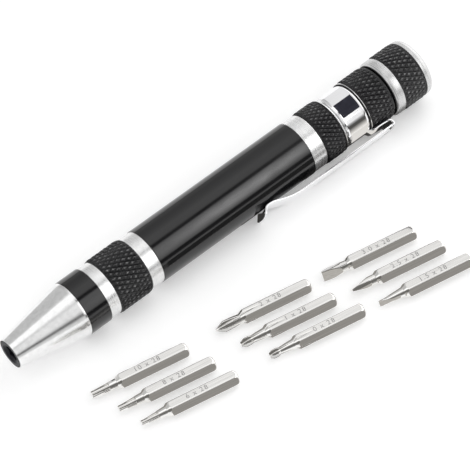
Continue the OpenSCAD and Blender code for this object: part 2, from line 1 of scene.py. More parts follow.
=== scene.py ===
# %% [markdown]
# A pen-shaped pocket screwdriver
#
# The real tool is a slim aluminium pen. It has a bare cone at the nose, a black body with
# bare turned rings, diamond knurls, a chromed pocket clip and a cap that spins under the
# palm. Nine small bits lie beside it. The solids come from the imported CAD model, and this
# script dresses them: finer metalwork, real finishes, a studio and a camera.

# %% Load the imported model
import bpy
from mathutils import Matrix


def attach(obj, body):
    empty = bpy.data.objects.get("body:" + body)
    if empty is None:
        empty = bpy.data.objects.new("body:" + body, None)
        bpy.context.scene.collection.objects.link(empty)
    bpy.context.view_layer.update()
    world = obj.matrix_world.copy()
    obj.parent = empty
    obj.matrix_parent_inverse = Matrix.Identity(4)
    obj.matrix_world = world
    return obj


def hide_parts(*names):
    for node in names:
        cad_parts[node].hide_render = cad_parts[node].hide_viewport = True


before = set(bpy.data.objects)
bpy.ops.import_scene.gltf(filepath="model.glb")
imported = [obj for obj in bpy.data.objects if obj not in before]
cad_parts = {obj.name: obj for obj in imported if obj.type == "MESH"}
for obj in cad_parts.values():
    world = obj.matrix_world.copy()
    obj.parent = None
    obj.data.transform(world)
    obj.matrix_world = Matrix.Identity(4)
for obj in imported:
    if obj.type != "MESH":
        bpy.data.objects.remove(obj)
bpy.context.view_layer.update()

import bpy
import math
from functools import partial
from math import cos, pi, radians, sin, tau
from mathutils import Matrix, Vector

# %% [markdown]
# The sizes of the tool
#
# A lathe worker reads a drawing as places along one axis, so the script keeps the same
# list. Every place is in millimetres from the socket's mouth, and mm() turns it into
# Blender's metres. Naming the places once keeps rings, bands and knurls flush.

# %% Places along the pen
def mm(value):
    """Millimetres to metres, for one number or for a list of them."""
    if isinstance(value, (list, tuple)):
        return [mm(v) for v in value]
    return value * 0.001


BAND = 20.6          # the black band behind the nose
RING_FRONT = 27.35   # bare ring
GRIP = 30.6          # knurled grip
RING_MID = 41.3      # bare ring
BARREL = 45.1        # long gloss black barrel
RING_REAR = 97.3     # bare ring at the barrel's end
JOIN = 101.6         # where the rear section meets the barrel
REAR_FRONT_END = 108.6
NECK = 109.2         # groove that the clip's collar sits in
REAR_BACK = 117.0
REAR_END = 125.8
CAP = 126.3          # the swivel cap
CAP_LIP = 126.55     # its black lip ends here
CAP_RING = 127.1     # its bare ring is past its chamfer here
CAP_KNURL = 129.2
CAP_END_RING = 136.9
PEN_END = 139.3
FLOOR = -8.5
print("pen length:", PEN_END, "mm, floor at", FLOOR, "mm")

# %% [markdown]
# The camera
#
# The photograph looks down on the tool from its front left, at about 54 degrees, through a
# long lens that hardly shrinks what is further away. Building the camera from its heading,
# tilt, roll and distance keeps each of these readable. The slight roll lets the pen lie
# naturally on its cap and on the edge of its clip.

# %% Set up the camera
def put_in_scene(name, data):
    """A new object at the origin."""
    thing = bpy.data.objects.new(name, data)
    bpy.context.scene.collection.objects.link(thing)
    return thing


PHOTO_SIZE, SENSOR = 470, 36
HEADING, ELEVATION, ROLL = radians(35.426), radians(53.732), radians(6)
DISTANCE = mm(914.6)
AIM = Vector(mm([66.98, -10.48, 0]))
PIXELS_OF_LENS = 3489

level = Vector((sin(HEADING), cos(HEADING), 0))
ahead = level * cos(ELEVATION) + Vector((0, 0, -sin(ELEVATION)))
side = Vector((cos(HEADING), -sin(HEADING), 0))
above = side.cross(ahead)
right = cos(ROLL) * side - sin(ROLL) * above
up = sin(ROLL) * side + cos(ROLL) * above

lens = bpy.data.cameras.new("portrait_lens")
lens.sensor_width = SENSOR
lens.lens = SENSOR * PIXELS_OF_LENS / PHOTO_SIZE
lens.clip_start, lens.clip_end = 0.01, 20
camera = put_in_scene("portrait_camera", lens)
turn = Matrix((right, up, -ahead)).transposed().to_4x4()
camera.matrix_world = Matrix.Translation(AIM - ahead * DISTANCE) @ turn
bpy.context.scene.camera = camera
bpy.context.scene.view_settings.view_transform = "Standard"
print("lens of", round(lens.lens, 1), "mm, camera at", [round(v, 3) for v in camera.location])

# %% [markdown]
# Small tools for making node networks
#
# Every finish and every pattern below is a network of nodes. A few short helpers keep them
# readable: one adds a node and fills its inputs, one does arithmetic, one makes a material
# around Blender's all-purpose surface shader, and the others make the usual patterns.

# %% Helpers for nodes
def feed(tree, socket, value):
    """Links a socket to another one, or sets it to a plain value."""
    if isinstance(value, bpy.types.NodeSocket):
        tree.links.new(value, socket)
    else:
        socket.default_value = value


def fill(tree, node, **inputs):
    """Feeds inputs by name, with _ for a space, or by number, such as _0."""
    for name, value in inputs.items():
        name = name.replace("_", " ").strip()
        feed(tree, node.inputs[int(name) if name.isdigit() else name], value)
    return node


def add(tree, kind, settings=None, **inputs):
    """Adds a node with its settings and inputs. A shader node goes by the end of its name."""
    node = tree.nodes.new(kind if kind.startswith("Geometry") else "ShaderNode" + kind)
    for name, value in (settings or {}).items():
        setattr(node, name, value)
    return fill(tree, node, **inputs)


def sum_up(tree, operation, *values, clamp=False):
    """One step of arithmetic on sockets or numbers."""
    node = add(tree, "Math", {"operation": operation, "use_clamp": clamp})
    for socket, value in zip(node.inputs, values):
        feed(tree, socket, value)
    return node.outputs[0]


def finish_named(name, colour, metallic, roughness, ior=1.5):
    """A material with the constants that belong to the whole surface."""
    material = bpy.data.materials.new(name)
    material.use_nodes = True
    tree = material.node_tree
    shader = fill(tree, tree.nodes["Principled BSDF"], Base_Color=(*colour, 1),
                  Metallic=metallic, Roughness=roughness, IOR=ior)
    material.diffuse_color = (*colour, 1)
    return material, tree, shader


def object_axis(tree, axis):
    """One of the object coordinates, in metres."""
    here = add(tree, "TexCoord").outputs["Object"]
    return add(tree, "SeparateXYZ", Vector=here).outputs[axis]


def noise(tree, stretch=(1, 1, 1), scale=1.0, detail=2.0, turn=0):
    """A cloudy pattern that stays on the piece, turned about Z and stretched."""
    here = add(tree, "TexCoord").outputs["Object"]
    turned = add(tree, "Mapping", Vector=here, Rotation=(0, 0, turn)).outputs[0]
    place = add(tree, "Mapping", Vector=turned, Scale=stretch).outputs[0]
    return add(tree, "TexNoise", Vector=place, Scale=scale, Detail=detail).outputs[0]


def bump(tree, height, strength, depth=0.01, **under):
    """Relief of some millimetres from a pattern, on top of any relief under it."""
    return add(tree, "Bump", Strength=strength, Distance=mm(depth), Height=height,
               **under).outputs[0]


def vary(tree, pattern, low, high):
    """Spreads a pattern between two values."""
    return add(tree, "MapRange", Value=pattern, From_Min=0.3, From_Max=0.7,
               To_Min=low, To_Max=high).outputs[0]


def shade(tree, share, dark, light):
    """Mixes two colours by a share."""
    return add(tree, "Mix", {"data_type": "RGBA"}, Factor=share, A=(*dark, 1),
               B=(*light, 1)).outputs["Result"]


print("node helpers ready")

# %% [markdown]
# The studio
#
# Polished metal has no look of its own: it shows the room. The photograph's streaks run
# along the pen, so its room is built of long soft boxes beside the tool, with dark gaps
# between them. The world here is that room. It is read by the angle round the pen's axis,
# from overhead towards the viewer, and a ramp says how bright each stripe of it is.

# %% Light the studio with long soft boxes
BRIGHTEST = 2.2
BARREL_ROOM = [(-180, 0.8), (-97, 0.8), (-90, 0.62), (-62, 0.58), (-41, 0.85), (-28, 1.15),
               (-19, 1.4), (2, 1.4), (6, 1.0), (10, 0.05), (18, 0.05), (23, 1.9), (60, 2.1),
               (72, 1.8), (77, 0.02), (82, 0.02), (87, 0.12), (96, 0.24), (104, 0.8), (180, 0.8)]
NOSE_ROOM = [(-180, 0.9), (-97, 0.72), (-30, 0.72), (-24, 0.85), (-19, 1.5), (4, 1.5),
             (11, 1.15), (18, 0.85), (25, 1.1), (52, 1.1), (60, 0.8), (67, 0.1), (71, 0.1),
             (78, 0.8), (90, 0.95), (180, 0.95)]
CAP_ROOM = [(-180, 1.08), (-25, 1.08), (0, 1.0), (20, 1.0), (60, 1.1), (72, 1.0), (79, 0.45),
            (86, 0.06), (92, 0.06), (96, 0.5), (104, 0.8), (180, 0.8)]
# Where one room turns into the next, as the X of the direction that is looked in.
TO_BARREL_ROOM, TO_CAP_ROOM, PAST_CAP = (0.17, 0.27), (0.366, 0.386), (0.5, 0.62)
# One more lamp on the barrel's far end: its strength, where it starts, its edges and peak.
LAMP, LAMP_FROM, LAMP_ANGLES = 5.4, (0.322, 0.352), (14, 46, 76)


def room_ramp(tree, angle, stops):
    """How bright the room is at an angle round the pen, from [degrees, radiance] stops."""
    share = sum_up(tree, "MULTIPLY_ADD", angle, 1 / tau, 0.5)
    ramp = add(tree, "ValToRGB", Fac=share)
    elements = ramp.color_ramp.elements
    for degrees, _ in stops[1:-1]:
        elements.new((degrees + 180) / 360)
    for element, (degrees, value) in zip(elements, stops):
        element.position = (degrees + 180) / 360
        element.color = (value / BRIGHTEST,) * 3 + (1,)
    return sum_up(tree, "MULTIPLY", ramp.outputs["Color"], BRIGHTEST)


def soft_step(tree, value, low, high):
    """Rises smoothly from 0 at one value to 1 at another."""
    return add(tree, "MapRange", {"interpolation_type": "SMOOTHSTEP"}, Value=value,
               From_Min=low, From_Max=high).outputs[0]


def build_world():
    world = bpy.data.worlds.new("studio")
    bpy.context.scene.world = world
    world.use_nodes = True
    tree = world.node_tree
    tree.nodes.clear()
    calc, step = partial(sum_up, tree), partial(soft_step, tree)
    direction = add(tree, "TexCoord").outputs["Generated"]
    parts = add(tree, "SeparateXYZ", Vector=direction).outputs
    along = parts["X"]
    angle = calc("ARCTAN2", calc("MULTIPLY", parts["Y"], -1), parts["Z"])
    by_barrel, by_cap = step(along, *TO_BARREL_ROOM), step(along, *TO_CAP_ROOM)
    room = room_ramp(tree, angle, NOSE_ROOM)
    for share, stops in ((by_barrel, BARREL_ROOM), (by_cap, CAP_ROOM)):
        change = calc("SUBTRACT", room_ramp(tree, angle, stops), room)
        room = calc("MULTIPLY_ADD", change, share, room)
    start, peak, end = (radians(degrees) for degrees in LAMP_ANGLES)
    lit = calc("MULTIPLY", step(angle, start, peak), step(angle, end, peak))
    lit = calc("MULTIPLY", step(along, *LAMP_FROM), lit)
    lit = calc("MULTIPLY", lit, calc("SUBTRACT", 1, by_cap))
    light = calc("MULTIPLY_ADD", lit, LAMP, room)
    light = calc("ADD", light, step(along, *PAST_CAP))
    studio = add(tree, "Background", Strength=light)
    backdrop = add(tree, "Background", Strength=1.0)
    seen = add(tree, "LightPath").outputs["Is Camera Ray"]
    mix = add(tree, "MixShader", _0=seen, _1=studio.outputs[0], _2=backdrop.outputs[0])
    add(tree, "OutputWorld", Surface=mix.outputs[0])


build_world()
print("stripes in the room:", len(NOSE_ROOM), len(BARREL_ROOM), len(CAP_ROOM))

# %% [markdown]
# Floor, flag and cards
#
# The tool lies on a plain white sheet, which also lights it from below. The camera sees
# part of the sheet's white as its own, so that it stays white without more light on the
# tool, and the shadow stays too. A flag is a strip of black cloth that a photographer hangs
# to draw a dark shape into chrome: bent round the pen's axis, it shows as a dark rectangle
# on the clip's collar. Cards that glow in set tones stand low beside the pen and before
# each bit: painted reflections, which give the undersides and front flats their tones.
# Only polished surfaces see flag and cards.

# %% Lay the floor, stand the cards and hang the flag
def plain_mesh(name, points, faces):
    mesh = bpy.data.meshes.new(name)
    mesh.from_pydata([tuple(p) for p in points], [], faces)
    mesh.validate()
    mesh.update()
    return put_in_scene(name, mesh)


def white_paper():
    material, tree, shader = finish_named("white_paper", (0.86,) * 3, 0, 0.9)
    fill(tree, shader, Specular_IOR_Level=0,
         Base_Color=shade(tree, noise(tree, scale=900.0), (0.85,) * 3, (0.87,) * 3))
    path = add(tree, "LightPath").outputs
    seen = path["Is Camera Ray"]
    for ray in ("Is Glossy Ray", "Is Transmission Ray"):
        seen = sum_up(tree, "MAXIMUM", seen, path[ray])
    shadow = add(tree, "BsdfDiffuse", Color=(0.81, 0.81, 0.81, 1))
    glow = add(tree, "Emission", Strength=0.30)
    bright = add(tree, "AddShader", _0=shadow.outputs[0], _1=glow.outputs[0])
    mix = add(tree, "MixShader", _0=seen, _1=shader.outputs[0], _2=bright.outputs[0])
    fill(tree, tree.nodes["Material Output"], Surface=mix.outputs[0])
    return material


SHEET = 4            # half the sheet's width in metres
floor_z = mm(FLOOR - 0.01)
paper_sheet = plain_mesh("floor_sheet", [
    (x * SHEET, y * SHEET, floor_z) for x, y in ((-1, -1), (1, -1), (1, 1), (-1, 1))],
    [(0, 1, 2, 3)])
paper_sheet.data.materials.append(white_paper())


def for_mirrors_only(card, finish):
    """Gives a card its finish and hides it from all but polished surfaces."""
    card.data.materials.append(finish)
    card.visible_camera = card.visible_shadow = card.visible_diffuse = False


def hang_flag(x_from, x_to, from_degrees, to_degrees, radius, steps=16):
    """Bends the cloth round the pen, with angles from overhead towards the viewer."""
    points, faces = [], []
    for i in range(steps + 1):
        a = radians(from_degrees + (to_degrees - from_degrees) * i / steps)
        points += [mm([x, -radius * sin(a), radius * cos(a)]) for x in (x_from, x_to)]
        if i:
            faces.append((2 * i - 2, 2 * i - 1, 2 * i + 1, 2 * i))
    cloth = finish_named("black_cloth", (0.03, 0.03, 0.045), 0, 1)[0]
    for_mirrors_only(plain_mesh("black_flag", points, faces), cloth)


def glowing_card(name, place, u_from, u_to, v_from, v_to, level, foot=None):
    """A glowing card, a painted reflection of one tone or lighter down to its foot. place() puts
    its corners.
    """
    material = bpy.data.materials.new(name)
    material.use_nodes = True
    tree = material.node_tree
    tree.nodes.clear()
    if foot is not None:
        level = add(tree, "MapRange", Value=object_axis(tree, "Z"),
                    From_Min=mm(FLOOR + 2), From_Max=mm(2), To_Min=foot, To_Max=level).outputs[0]
    tone = add(tree, "Emission", Color=(1, 0.97, 0.92, 1), Strength=level)
    add(tree, "OutputMaterial", Surface=tone.outputs[0])
    corners = (u_from, v_from), (u_to, v_from), (u_to, v_to), (u_from, v_to)
    card = plain_mesh(name, [place(*corner) for corner in corners], [(0, 1, 2, 3)])
    for_mirrors_only(card, material)


BITS_TURN = radians(-11.5)
BIT_MARKS = {
    "star_bit_large": ((23.5, -23.2), "10"), "star_bit_medium": ((25.9, -31.2), "8"),
    "star_bit_small": ((27.5, -38.5), "6"), "cross_bit_large": ((60.0, -29.4), "2"),
    "cross_bit_medium": ((61.9, -37.2), "1"), "cross_bit_small": ((65.1, -44.9), "0"),
    "flat_bit_wide": ((91.6, -35.3), "3.0"), "flat_bit_turned": ((94.2, -43.8), "2.5"),
    "flat_bit_narrow": ((96.7, -51.9), "1.5"),
}
ALONG_BIT = Vector((cos(BITS_TURN), sin(BITS_TURN), 0))
BEFORE_BIT = Vector((sin(BITS_TURN), -cos(BITS_TURN), 0))


def before_bit(middle, along, edge):
    """A place along a bit, with an edge as [in front of its middle, above the floor]."""
    place = Vector((*middle, FLOOR)) + ALONG_BIT * along + BEFORE_BIT * edge[0]
    return (place + Vector((0, 0, edge[1]))) * 0.001


def before_pen(x, z):
    return mm([x, -22, z])


FOOT, TOP = (3.3, 0), (3.3, 4.6)
# Painted reflections: glowing cards before each bit, for its front flats and neck, and beside the
# pen and the collar, for their undersides.
for node, (middle, _) in BIT_MARKS.items():
    by_bit = partial(before_bit, middle)
    glowing_card("bit_card", by_bit, -6, 16, FOOT, TOP, 0.31)
    if node.startswith("flat"):
        glowing_card("bit_card", by_bit, -18, -8, FOOT, TOP, 0.50)
    glowing_card("bit_card", by_bit, -15, -5.8, (2.4, 3.6), (1.2, 4.65), 0.16)
glowing_card("low_card", before_pen, 52, 111, -5.2, 1.5, 0.12)
glowing_card("collar_card", before_pen, 115.4, 124.3, FLOOR + 0.1, 5.4, 0.09, foot=0.85)
hang_flag(120.6, 129.6, -19, 41, radius=34.5)
print("floor, flag and the cards of", len(BIT_MARKS), "bits are up")

# %% [markdown]
# Bare turned aluminium
#
# The cone and the rings are aluminium straight from the lathe. The tool leaves rings too
# fine to count, which spread light along the pen but keep the streaks sharp across it. A
# noise that only changes along X is the cheapest true picture of such rings, as bump and
# as a small change of roughness, and the shader's anisotropy does the spreading.

# %% Finish: bare aluminium
def turned_lines(tree, per_mm):
    """A pattern that changes only along the pen, like a lathe's marks."""
    place = sum_up(tree, "MULTIPLY", object_axis(tree, "X"), per_mm * 1000)
    return add(tree, "TexNoise", {"noise_dimensions": "1D"}, W=place, Scale=1.0,
               Detail=3.0).outputs[0]


def bare_aluminium(name, polish, line_depth, metal=1.0, tone=1.0):
    material, tree, shader = finish_named(name, (0.87 * tone,) * 3, metal, polish)
    lines, clouds = turned_lines(tree, 7), noise(tree, (700, 900, 900), detail=5.0)
    ring = add(tree, "Tangent", {"direction_type": "RADIAL", "axis": "X"})
    fill(tree, shader, Anisotropic=0.5, Tangent=ring.outputs[0], Base_Color=shade(
        tree, vary(tree, clouds, 0, 1), (0.80 * tone,) * 3, (0.90 * tone,) * 3),
        Roughness=vary(tree, lines, polish - 0.04, polish + 0.05),
        Normal=bump(tree, clouds, 0.12, Normal=bump(tree, lines, line_depth)))
    return material


NOSE_ALUMINIUM = bare_aluminium("polished_aluminium", 0.14, 0.06)
ALUMINIUM = bare_aluminium("bare_aluminium", 0.24, 0.12, 0.78)
# The cap's copy is rougher, and its tone of 0.78 is painted shade: a darker copy of the same
# aluminium that dulls the cap under the studio's light.
SHADED_CAP_ALUMINIUM = bare_aluminium("cap_aluminium_painted_shade", 0.27, 0.3, 0.75, 0.78)
print("made", [finish.name for finish in (NOSE_ALUMINIUM, ALUMINIUM, SHADED_CAP_ALUMINIUM)])

# %% [markdown]
# Gloss black
#
# The body is anodised black and polished, so it is almost a mirror for bright things and
# black everywhere else. The base is kept near black, the clear reflection does the rest,
# and a very fine unevenness keeps the streaks from looking like glass.

# %% Finish: gloss black
def gloss_black():
    material, tree, shader = finish_named("gloss_black", (0.008, 0.008, 0.0085), 0, 0.1, 1.52)
    haze = noise(tree, (150, 600, 600), detail=5.0)
    fill(tree, shader, Roughness=vary(tree, haze, 0.07, 0.14),
         Normal=bump(tree, turned_lines(tree, 3), 0.06))
    return material


GLOSS_BLACK = gloss_black()
print("made", GLOSS_BLACK.name)

# %% [markdown]
# Black knurl
#
# Hands polish the points of a knurl and leave dirt in its grooves. The knurl below stores
# how high each point stands, so the finish can read that number: lighter and smoother on
# the points, dull and dark between them.

# %% Finish: black knurl
def knurl_black(name, ior, wear):
    material, tree, shader = finish_named(name, (0.014, 0.014, 0.015), 0, 0.27, ior)
    calc = partial(sum_up, tree)
    height = add(tree, "Attribute", {"attribute_name": "crest"}).outputs["Fac"]
    specks = vary(tree, noise(tree, scale=1800.0), -0.3, wear)
    worn = calc("MULTIPLY", calc("POWER", height, 5), specks, clamp=True)
    fill(tree, shader, Base_Color=shade(tree, worn, (0.004, 0.004, 0.005), (0.42,) * 3),
         Metallic=calc("MULTIPLY", worn, 0.7), Roughness=calc("MULTIPLY_ADD", worn, -0.05, 0.27))
    return material


KNURL_BLACK = knurl_black("knurl_black", 1.42, 0.6)
CAP_BLACK = knurl_black("knurl_black_worn", 1.5, 0.75)
print("made", KNURL_BLACK.name, "and", CAP_BLACK.name)

# %% [markdown]
# Chrome
#
# The clip is spring steel with a bright chrome plate. Chrome needs little more than a high
# reflectance and a low roughness. Hair-fine rub marks along the clip, from pockets, break
# the mirror just enough.

# %% Finish: chrome
def chrome():
    material, tree, shader = finish_named("clip_chrome", (0.90, 0.90, 0.91), 1, 0.07)
    rubs = noise(tree, (60, 2600, 2600), detail=3.0)
    fill(tree, shader, Roughness=vary(tree, rubs, 0.03, 0.06))
    return material


CHROME = chrome()
print("made", CHROME.name)

# %% [markdown]
# A lathe in code
#
# Most of the pen is turned. lathe() takes a closed outline of [place, radius], rounds its
# sharp corners a little, as a file does, and spins it round X. The corners matter: a real
# edge is never perfectly sharp, and its thin bright line is what makes metal read as metal.

# %% Helper: lathe
ROUND = 144


def eased(outline, radius):
    """Rounds each sharp corner of a closed outline with a short arc of three points."""
    points = []
    for i, here in enumerate(outline):
        here = Vector(here)
        back = Vector(outline[i - 1]) - here
        on = Vector(outline[(i + 1) % len(outline)]) - here
        if pi - back.angle(on) < radians(20):
            points.append(here)
            continue
        cut = min(radius, back.length * 0.4, on.length * 0.4)
        first, last = here + back.normalized() * cut, here + on.normalized() * cut
        points += [first, (first + last) * 0.25 + here * 0.5, last]
    return points


def coat(piece, finish, degrees=15):
    """One finish all over, smooth but for corners sharper than some degrees."""
    piece.data.materials.clear()
    piece.data.materials.append(finish)
    piece.data.polygons.foreach_set("use_smooth", [True] * len(piece.data.polygons))
    piece.data.set_sharp_from_angle(angle=radians(degrees))
    return piece


def fit(piece, body, stands_for):
    """Says which body carries a piece and which CAD node it stands for, and hides that node."""
    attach(piece, body)
    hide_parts(stands_for)
    return piece


def lathe(name, outline, body, finish, stands_for, soften=0.12):
    """Spins a closed outline of [x, radius] in millimetres, run so that faces point outwards."""
    points = [Vector(mm(list(p))) for p in eased(outline, soften)]
    vertices, faces, count = [], [], len(points)
    for k in range(ROUND):
        a, n = tau * k / ROUND, (k + 1) % ROUND
        vertices += [(p.x, p.y * cos(a), p.y * sin(a)) for p in points]
        for i in range(count):
            j = (i + 1) % count
            faces.append((k * count + i, n * count + i, n * count + j, k * count + j))
    return fit(coat(plain_mesh(name, vertices, faces), finish), body, stands_for)


print("lathe ready,", ROUND, "sides")

# %% [markdown]
# The nose cone
#
# The cone tapers straight to the tip and rolls over into the body on a long soft curve.
# The curve is tangent to both, so the streaks bend in it without a break. Inside, a bore
# holds the steel socket insert.

# %% Turn the nose cone
TIP_R, BAND_R, BLEND_R = 4.3, 8.1, 11.0
MOUTH, MOUTH_R, SOCKET_R, SOCKET_END = 0.95, 4.15, 3.59, 17.15
MAGNET_R, SPIGOT_R, SPIGOT_END = 2.0, 6.28, 34.6


def arc_points(x, radius, bend, start, end, steps):
    """Points of a turned edge's arc round [x, radius], from one angle in degrees to another."""
    angles = [radians(start + (end - start) * i / steps) for i in range(steps + 1)]
    return [(x + bend * cos(a), radius + bend * sin(a)) for a in angles]


def nose_outline():
    centre_r = BAND_R - BLEND_R
    reach = math.hypot(BAND, centre_r - TIP_R)
    taper = math.degrees(math.atan2(centre_r - TIP_R, BAND) + math.asin(BLEND_R / reach))
    return [(MOUTH, SOCKET_R), (MOUTH, MOUTH_R), (0.0, MOUTH_R), (0.0, TIP_R)] + arc_points(
        BAND, centre_r, BLEND_R, 90 + taper, 90, 12) + [
        (BAND, SPIGOT_R), (SPIGOT_END, SPIGOT_R), (SPIGOT_END, MAGNET_R),
        (SOCKET_END, MAGNET_R), (SOCKET_END, SOCKET_R)]


nose = lathe("turned_nose", nose_outline(), "barrel", NOSE_ALUMINIUM, "nose_cone",
             0.06)
print("nose:", len(nose.data.polygons), "faces")

# %% [markdown]
# The barrel
#
# One tube carries the black band, the grip and the barrel, with bare rings between them.
# On the real tube the rings are cut through the black after it is anodised, so they lie a
# little lower. Each finish becomes its own sleeve here, and the sleeves share one bore.

# %% Turn the barrel's sleeves
BORE_R, RING_R, BARREL_R = 6.3, 7.85, 8.0


def sleeve(name, start, end, radius, finish, body="barrel", stands_for="barrel",
           bore=BORE_R, soften=0.14):
    outline = [(start, bore), (start, radius), (end, radius), (end, bore)]
    return lathe(name, outline, body, finish, stands_for, soften)


sleeves = [
    sleeve("band_sleeve", BAND, RING_FRONT, BAND_R, GLOSS_BLACK),
    sleeve("ring_front", RING_FRONT, GRIP, RING_R, ALUMINIUM, soften=0.02),
    sleeve("grip_core", GRIP, RING_MID, RING_R - 0.1, KNURL_BLACK, soften=0.02),
    sleeve("ring_mid", RING_MID, BARREL, RING_R, ALUMINIUM, soften=0.02),
    sleeve("barrel_sleeve", BARREL, RING_REAR, BARREL_R, GLOSS_BLACK),
    sleeve("ring_rear", RING_REAR, JOIN, RING_R, ALUMINIUM),
]
print("sleeves:", [piece.name for piece in sleeves])

# %% [markdown]
# Diamond knurl with Geometry Nodes
#
# A knurling wheel presses two sets of grooves that cross, one winding left and one right,
# and leaves small pyramids. One set bites less deep, so they stand in rows. The rule is
# short, so Geometry Nodes can follow it: a flat grid is wrapped round the pen, and each
# point is lowered by how near it lies to the closer groove. Three more rows fold the band
# inwards, so that it closes on itself.

# %% Grow the knurl's node tree
def knurl_tree():
    tree = bpy.data.node_groups.new("diamond_knurl", "GeometryNodeTree")
    calc, sockets = partial(sum_up, tree), {}
    for name, kind, value in (("Start", "Float", 0.0), ("Length", "Float", 0.01),
                              ("Crest radius", "Float", 0.008), ("Depth", "Float", 0.0003),
                              ("Wall", "Float", 0.0005), ("Flat of the points", "Float", 0.2),
                              ("Diamonds round", "Int", 36), ("Diamonds along", "Int", 4),
                              ("Steps in a diamond", "Int", 8), ("Finish", "Material", None)):
        socket = tree.interface.new_socket(name, in_out="INPUT", socket_type="NodeSocket" + kind)
        sockets[name] = socket.identifier
        if value is not None:
            socket.default_value = value
    tree.interface.new_socket("Band", in_out="OUTPUT", socket_type="NodeSocketGeometry")
    sizes = tree.nodes.new("NodeGroupInput").outputs
    count_along, count_round = sizes["Diamonds along"], sizes["Diamonds round"]
    steps_along = calc("MULTIPLY", count_along, sizes["Steps in a diamond"])
    steps_round = calc("MULTIPLY", count_round, sizes["Steps in a diamond"])
    grid = add(tree, "GeometryNodeMeshGrid", Size_X=1.0, Size_Y=1.0,
               Vertices_X=calc("ADD", steps_along, 4), Vertices_Y=calc("ADD", steps_round, 1))
    flat = add(tree, "SeparateXYZ",
               Vector=add(tree, "GeometryNodeInputPosition").outputs[0]).outputs
    row = calc("ROUND", calc("MULTIPLY", calc("ADD", flat["X"], 0.5), calc("ADD", steps_along, 3)))
    turn_share = calc("ADD", flat["Y"], 0.5)
    along = calc("DIVIDE", calc("SUBTRACT", row, 1), steps_along, clamp=True)
    closing_row = calc("GREATER_THAN", row, calc("ADD", steps_along, 2.5))
    along = calc("MULTIPLY", along, calc("SUBTRACT", 1, closing_row))
    inside = calc("MAXIMUM", calc("LESS_THAN", row, 0.5),
                  calc("GREATER_THAN", row, calc("ADD", steps_along, 1.5)))
    heights = []
    for lean, bite in ((1, 0.9), (-1, 1.0)):
        wave = calc("MULTIPLY_ADD", turn_share, count_round,
                    calc("MULTIPLY", calc("MULTIPLY", along, count_along), lean))
        saw = calc("FRACT", calc("ADD", wave, 100.5))     # 100 keeps it above zero
        ridge = calc("ABSOLUTE", calc("MULTIPLY_ADD", saw, 2, -1))
        heights.append(calc("MULTIPLY_ADD", ridge, bite, 1 - bite))
    slopes = calc("SUBTRACT", 1, sizes["Flat of the points"])
    height = calc("DIVIDE", calc("MINIMUM", *heights), slopes, clamp=True)
    from_end = calc("MINIMUM", along, calc("SUBTRACT", 1, along))
    # The points slope down over the last fifth of a diamond at each end.
    run_out = calc("MULTIPLY", calc("MULTIPLY", from_end, count_along), 5.0, clamp=True)
    height = calc("MULTIPLY", height, run_out)
    drop = calc("MULTIPLY", calc("SUBTRACT", 1, height), sizes["Depth"])
    drop = calc("MULTIPLY_ADD", inside, sizes["Wall"], drop)
    radius = calc("SUBTRACT", sizes["Crest radius"], drop)
    angle = calc("MULTIPLY", turn_share, tau)
    wrapped = add(tree, "CombineXYZ",
                  X=calc("MULTIPLY_ADD", along, sizes["Length"], sizes["Start"]),
                  Y=calc("MULTIPLY", radius, calc("COSINE", angle)),
                  Z=calc("MULTIPLY", radius, calc("SINE", angle))).outputs[0]
    band = grid.outputs["Mesh"]
    for kind, settings, inputs in (
            ("StoreNamedAttribute", {"data_type": "FLOAT", "domain": "POINT"},
             {"Name": "crest", "Value": height}),
            ("SetPosition", None, {"Position": wrapped}),
            ("MergeByDistance", None, {"Distance": mm(0.002)}), ("RealizeInstances", None, {}),
            ("SetMaterial", None, {"Material": sizes["Finish"]})):
        band = add(tree, "GeometryNode" + kind, settings, Geometry=band, **inputs).outputs[0]
    tree.links.new(band, tree.nodes.new("NodeGroupOutput").inputs[0])
    return tree, sockets


KNURL_TREE, KNURL_SOCKETS = knurl_tree()
print("knurl tree:", len(KNURL_TREE.nodes), "nodes, inputs", sorted(KNURL_SOCKETS))

# %% [markdown]
# Four knurled bands
#
# The same tree makes the grip, the two bands of the rear section and the cap's band. Only
# the inputs differ. The result is turned into a plain mesh, one for each band, because the
# model that leaves Blender can't carry a modifier.

# %% Roll the four bands
def evaluated(piece):
    """What the modifiers or the curves give, as a plain mesh."""
    graph = bpy.context.evaluated_depsgraph_get()
    return bpy.data.meshes.new_from_object(piece.evaluated_get(graph))


def freeze(piece):
    mesh = evaluated(piece)
    piece.modifiers.clear()
    piece.data = mesh
    return piece


def grow(name, tree, sockets, **values):
    """Runs a node tree once."""
    piece = plain_mesh(name, [(0, 0, 0)], [])
    modifier = piece.modifiers.new("nodes", "NODES")
    modifier.node_group = tree
    for label, value in values.items():
        modifier[sockets[label.replace("_", " ")]] = value
    return freeze(piece)


DIAMOND = 2.5        # about how long a diamond is


def knurl_band(name, start, end, crest, body, stands_for, finish=KNURL_BLACK):
    band = grow(name, KNURL_TREE, KNURL_SOCKETS, Start=mm(start), Length=mm(end - start),
                Crest_radius=mm(crest), Depth=mm(0.34), Wall=mm(0.3), Flat_of_the_points=0.3,
                Diamonds_round=36, Diamonds_along=max(2, round((end - start) / DIAMOND)),
                Steps_in_a_diamond=8, Finish=finish)
    return fit(band, body, stands_for)


bands = [
    knurl_band("knurl_grip", GRIP, RING_MID, 8.2, "barrel", "barrel"),
    knurl_band("knurl_rear_front", JOIN + 0.25, REAR_FRONT_END - 0.15, 8.07, "rear", "rear_sleeve"),
    knurl_band("knurl_rear_back", REAR_BACK + 0.42, REAR_END - 0.25, 8.07, "rear", "rear_sleeve"),
    knurl_band("knurl_cap", CAP_KNURL, CAP_END_RING, 8.5, "cap", "swivel_cap", CAP_BLACK),
]
print("knurl faces:", [len(band.data.polygons) for band in bands])

# %% [markdown]
# The rear section
#
# Behind the barrel comes a short black sleeve with its own spigot, a groove for the clip
# and thin bare chamfers where the groove cuts through the black. Its bore is the bearing
# of the cap's axle.

